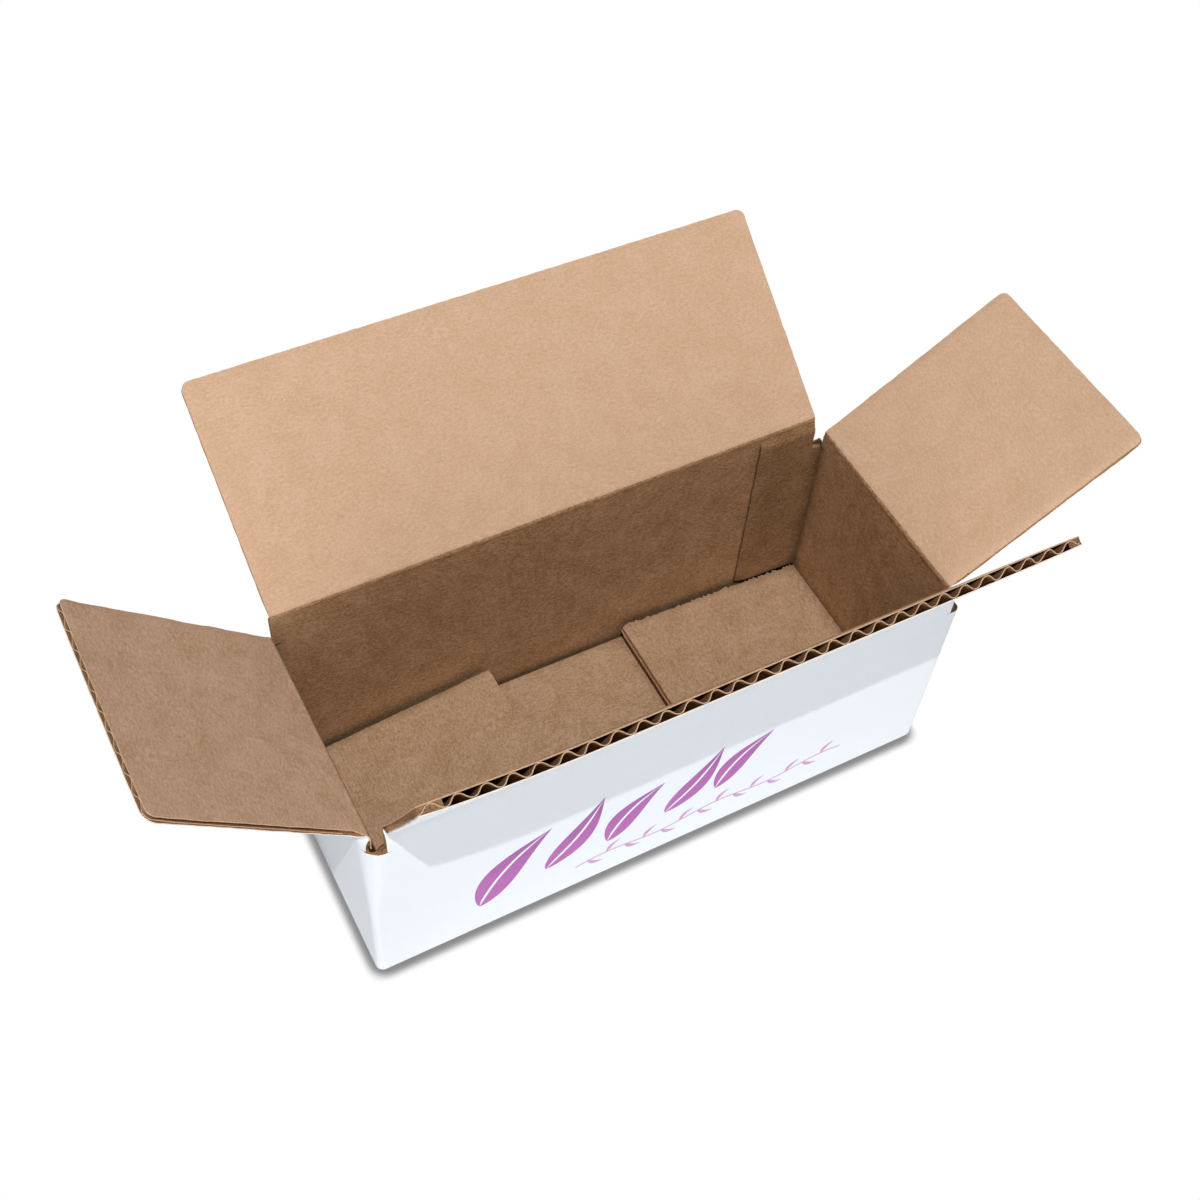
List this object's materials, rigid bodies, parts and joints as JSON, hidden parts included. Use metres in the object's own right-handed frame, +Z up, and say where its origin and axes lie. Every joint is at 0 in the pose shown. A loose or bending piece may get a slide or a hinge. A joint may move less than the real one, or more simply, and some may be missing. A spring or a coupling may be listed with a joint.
{
  "type": "slotted mailer carton",
  "caption": "Small corrugated board mailer carton, white outside and kraft inside, standing open with its four top flaps spread on creased hinges and its bottom flaps closed.",
  "frame": {"origin": "centre of the carton's underside, on the floor it stands on", "axes": "+X along the long walls, +Y from the front wall to the back wall, +Z up out of the opening"},
  "size_m": [0.2895, 0.1626, 0.138],
  "materials": {
    "carton_board": "matt white clay-coated liner outside, brown kraft liner inside",
    "kraft_board": "uncoated brown kraft liner inside, matt white liner outside"
  },
  "bodies": {
    "carton_body": {"carton_body": "carton_board"},
    "back_flap": {"back_flap": "kraft_board"},
    "front_flap": {"front_flap": "kraft_board"},
    "left_flap": {"left_flap": "kraft_board"},
    "right_flap": {"right_flap": "kraft_board"}
  },
  "joints": [
    {"name": "back_fold", "type": "hinge", "parent": "carton_body", "child": "back_flap", "pos_m": [0, 0.03575, 0.081], "axis": [1, 0, 0], "range_deg": [-78, 147]},
    {"name": "front_fold", "type": "hinge", "parent": "carton_body", "child": "front_flap", "pos_m": [0, -0.03575, 0.078], "axis": [-1, 0, 0], "range_deg": [-107, 118]},
    {"name": "left_fold", "type": "hinge", "parent": "carton_body", "child": "left_flap", "pos_m": [-0.09075, 0, 0.075], "axis": [0, 1, 0], "range_deg": [-88.5, 136.5]},
    {"name": "right_fold", "type": "hinge", "parent": "carton_body", "child": "right_flap", "pos_m": [0.09075, 0, 0.075], "axis": [0, -1, 0], "range_deg": [-78, 147]}
  ]
}
